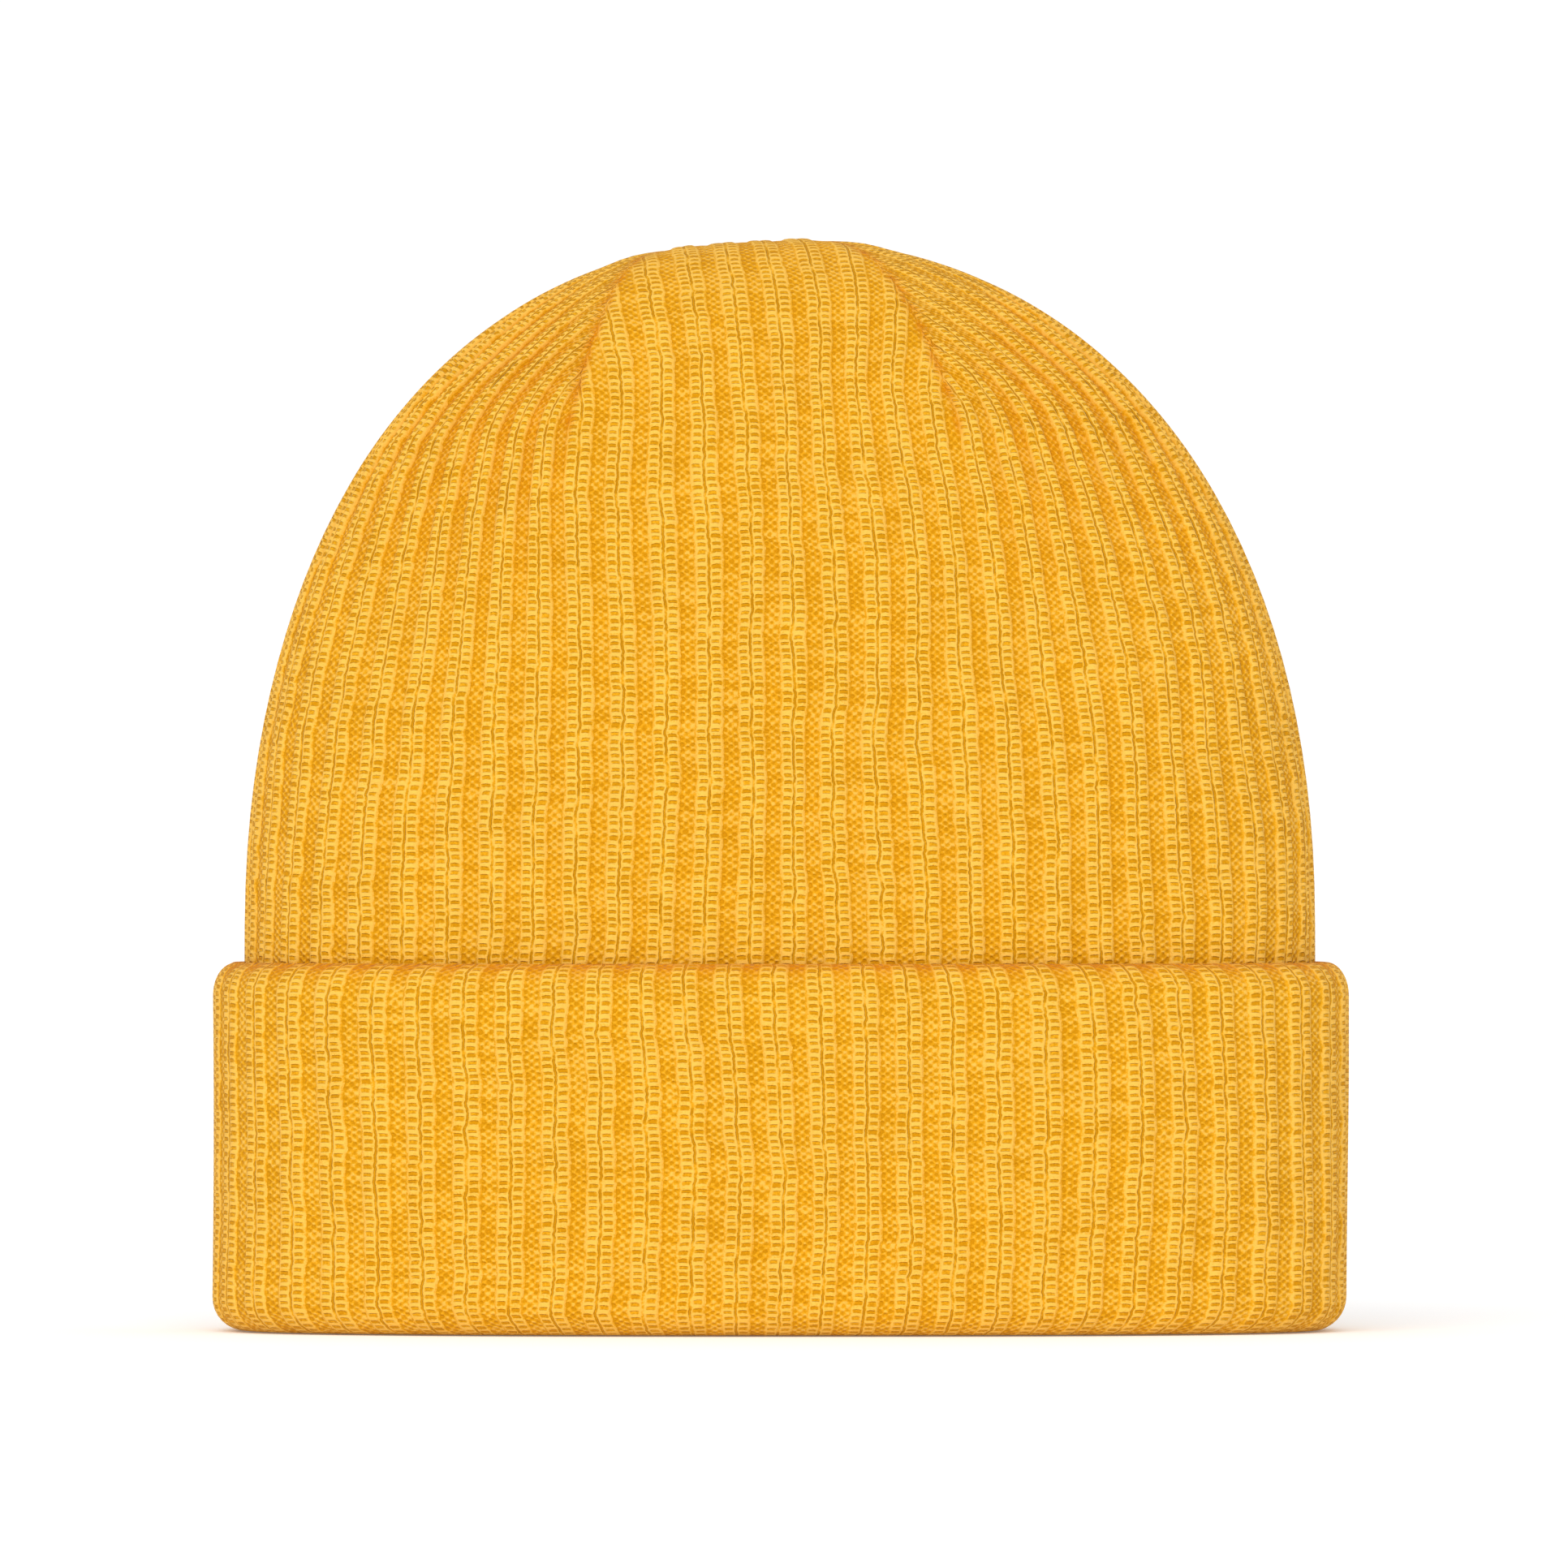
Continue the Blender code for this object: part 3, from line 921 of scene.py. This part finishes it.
def crown_tack_line() -> Array:
    """Straight line of the thread that holds the two crowns together."""
    low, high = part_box("crown_tack")
    z = np.linspace(low.z + 0.2 * MM, high.z - 0.7 * MM, 20)
    middle = np.array([(low.x + high.x) / 2.0, (low.y + high.y) / 2.0])
    return np.column_stack([np.tile(middle, (20, 1)), z])


def label_tack_line() -> Array:
    """Zigzag of the thread that holds the label's upper edge."""
    low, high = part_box("care_label_stitching")
    count = 25
    x = np.linspace(low.x + 0.4 * MM, high.x - 0.4 * MM, count)
    middle_z = (low.z + high.z) / 2.0
    zigzag = (high.z - low.z) * 0.28 * np.where(np.arange(count) % 2 == 0, 1.0, -1.0)
    return np.stack([x, np.full(count, (low.y + high.y) / 2.0), middle_z + zigzag], axis=-1)


def sew_threads(shell: KnitDome, lining: KnitDome) -> None:
    """Every closing thread, the crown's tack and the label's stitches.

    Args:
        shell: The outer layer, whose darts its threads follow from inside.
        lining: The inner layer, whose darts its threads follow from outside.
    """
    finish = ThreadFinish("golden_thread", (0.50, 0.17, 0.002), (0.86, 0.42, 0.035)).material
    forms = (("shell", replace(shell, inset=SHELL_THREAD_INSET)),
             ("lining", replace(lining, inset=LINING_THREAD_INSET)))
    for layer, form in forms:
        for face, facing in (("front", -1), ("back", 1)):
            for side, sign in (("left", -1), ("right", 1)):
                node = f"{layer}_dart_seam_{face}_{side}"
                line = form.dart_line(sign, facing)
                SewnThread(node + "_thread", node, line, SEAM_THREAD).build(finish)
    SewnThread("crown_tack_thread", "crown_tack", crown_tack_line(), TACK_THREAD).build(finish)
    SewnThread("care_label_zigzag_thread", "care_label_stitching", label_tack_line(), LABEL_THREAD,
               LABEL_THREAD_TWIST).build(finish)


def deselect_all() -> None:
    """Leave nothing selected."""
    bpy.ops.object.select_all(action="DESELECT")


def knit_grid(name: str, points: Array, climbed: Array, columns_per_rib: int, shade: Array,
              shift: float = 0.0) -> bpy.types.Object:
    """Lay a primitive grid onto a knit face.

    Args:
        name: The piece's name.
        points: Places of the grid's corners, by row and column.
        climbed: Length of knit below each corner.
        columns_per_rib: Grid columns in one rib.
        shade: Painted shade at each corner, 0 to 1.
        shift: Rib number at the first column.

    Returns:
        The new object, with a knit map in ribs and courses.
    """
    rows, columns = points.shape[0] - 1, points.shape[1] - 1
    deselect_all()
    bpy.ops.mesh.primitive_grid_add(x_subdivisions=columns, y_subdivisions=rows, size=1.0,
                                    calc_uvs=True, location=(0.0, 0.0, 0.0))
    piece = bpy.context.active_object
    piece.name = name
    mesh = piece.data
    mesh.name = name
    count = len(mesh.vertices)
    flat = np.zeros(count * 3, np.float32)
    mesh.vertices.foreach_get("co", flat)
    flat = flat.reshape(-1, 3)
    column = np.rint((flat[:, 0] + 0.5) * columns).astype(int)
    row = np.rint((flat[:, 1] + 0.5) * rows).astype(int)
    mesh.vertices.foreach_set("co", points[row, column].astype(np.float32).ravel())
    corner = np.zeros(len(mesh.loops), np.int32)
    mesh.loops.foreach_get("vertex_index", corner)
    knit_map = np.stack([column[corner] / columns_per_rib + shift,
                         climbed[row[corner], column[corner]] / COURSE_PITCH], axis=-1)
    layer = mesh.uv_layers[0]
    layer.name = "knit"
    layer.data.foreach_set("uv", knit_map.astype(np.float32).ravel())
    # Store the painted shade as a point attribute for the material.
    crease_and_shade = mesh.attributes.new("crease_and_shade", "FLOAT", "POINT")
    crease_and_shade.data.foreach_set("value", shade[row, column].astype(np.float32))
    mesh.update()
    return piece


def close_seams(piece: bpy.types.Object, facing: Half) -> None:
    """Merge the closing column, the darts and the crown's tip, and turn the faces to one side."""
    deselect_all()
    piece.select_set(True)
    bpy.context.view_layer.objects.active = piece
    bpy.ops.object.mode_set(mode="EDIT")
    bpy.ops.mesh.select_all(action="SELECT")
    bpy.ops.mesh.remove_doubles(threshold=2e-6)
    bpy.ops.mesh.normals_make_consistent(inside=facing is Half.INWARD)
    bpy.ops.object.mode_set(mode="OBJECT")


def thicken(piece: bpy.types.Object, thickness: float, offset: float = -1.0) -> None:
    """Give a face its thickness: away from the side it shows at -1, and half each way at 0."""
    wall = piece.modifiers.new("thickness", "SOLIDIFY")
    wall.thickness = thickness
    wall.offset = offset
    bpy.context.view_layer.objects.active = piece
    bpy.ops.object.modifier_apply(modifier=wall.name)


def dress(piece: bpy.types.Object, material: bpy.types.Material) -> None:
    """Put one material on a piece and shade it smooth."""
    piece.data.materials.clear()
    piece.data.materials.append(material)
    deselect_all()
    piece.select_set(True)
    bpy.context.view_layer.objects.active = piece
    bpy.ops.object.shade_smooth()


@dataclass
class Studio:
    """Pale floor, soft white light and a long lens straight in front of the hat."""

    aim: tuple[float, float, float] = (0.0008, 0.0, 0.1055)
    frame_width: float = 0.3032
    lens: float = 500.0
    sensor: float = 36.0
    sky: float = 0.72
    sun: float = 1.7

    def build(self) -> None:
        """Set up floor, light and camera."""
        self._floor()
        self._light()
        self._camera()

    def _floor(self) -> None:
        """A wide plain floor under the hat."""
        deselect_all()
        bpy.ops.mesh.primitive_plane_add(size=40.0, location=(0.0, 0.0, -0.2 * MM))
        floor = bpy.context.active_object
        floor.name = "floor"
        bench = NodeBench("pale_floor")
        bench.set_surface(Base_Color=(1.0, 1.0, 1.0, 1.0), Roughness=0.9, Specular_IOR_Level=0.1,
                          Emission_Color=(1.0, 1.0, 1.0, 1.0), Emission_Strength=0.12)
        floor.data.materials.append(bench.material)

    def _light(self) -> None:
        """White surroundings and one broad sun from the upper left."""
        world = bpy.data.worlds.new("studio")
        bpy.context.scene.world = world
        world.use_nodes = True
        tree = world.node_tree
        background = tree.nodes["Background"]
        background.inputs["Color"].default_value = (1.0, 1.0, 1.0, 1.0)
        seen = tree.nodes.new("ShaderNodeLightPath").outputs["Is Camera Ray"]
        strength = tree.nodes.new("ShaderNodeMapRange")
        strength.inputs["To Min"].default_value = self.sky
        strength.inputs["To Max"].default_value = 1.05
        tree.links.new(seen, strength.inputs["Value"])
        tree.links.new(strength.outputs["Result"], background.inputs["Strength"])
        data = bpy.data.lights.new("sun", "SUN")
        data.energy = self.sun
        data.angle = math.radians(50.0)
        lamp = bpy.data.objects.new("sun", data)
        bpy.context.scene.collection.objects.link(lamp)
        lamp.rotation_euler = Vector((-0.15, -1.0, 0.60)).to_track_quat("Z", "Y").to_euler()

    def _camera(self) -> None:
        """The camera, level with the middle of the hat."""
        data = bpy.data.cameras.new("front_view")
        data.lens = self.lens
        data.sensor_width = self.sensor
        data.clip_end = 200.0
        camera = bpy.data.objects.new("front_view", data)
        bpy.context.scene.collection.objects.link(camera)
        distance = self.frame_width * self.lens / self.sensor
        camera.location = (self.aim[0], self.aim[1] - distance, self.aim[2])
        camera.rotation_euler = (math.pi / 2.0, 0.0, 0.0)
        bpy.context.scene.camera = camera
        bpy.context.scene.view_settings.view_transform = "Standard"


def main() -> None:
    """Build the hat from its layers and set the studio round it."""
    logging.basicConfig(level=logging.INFO, format="%(message)s")
    Studio().build()
    shell = KnitDome("shell_rib_knit", "outer_shell", "shell_knit", Yarn("golden_shell_knit"),
                     Half.OUTWARD, inset=0.0, crown_drop=0.0, thickness=1.9 * MM,
                     columns_per_rib=12, wall_rows=8, shoulder_rows=14, crown_rows=44,
                     flat_size=(0.506, 0.226), flat_area=0.1022)
    lining = KnitDome("lining_rib_knit", "inner_lining", "lining_knit", Yarn("golden_lining_knit"),
                      Half.INWARD, inset=5.3 * MM, crown_drop=6.0 * MM, thickness=1.5 * MM,
                      columns_per_rib=9, wall_rows=6, shoulder_rows=10, crown_rows=30,
                      flat_size=(0.472, 0.213), flat_area=0.0904, relief=0.6, swell=0.0,
                      dart_depth=0.75 * MM, plan=CrownPlan(ratios=(0.4116, 0.3654)))
    for maker in (shell, lining, TurnedCuff(Yarn("golden_cuff_knit")), CareLabel()):
        piece = maker.build()
        LOG.info("%s: %d faces", piece.name, len(piece.data.polygons))
    sew_threads(shell, lining)


if __name__ == "__main__":
    main()
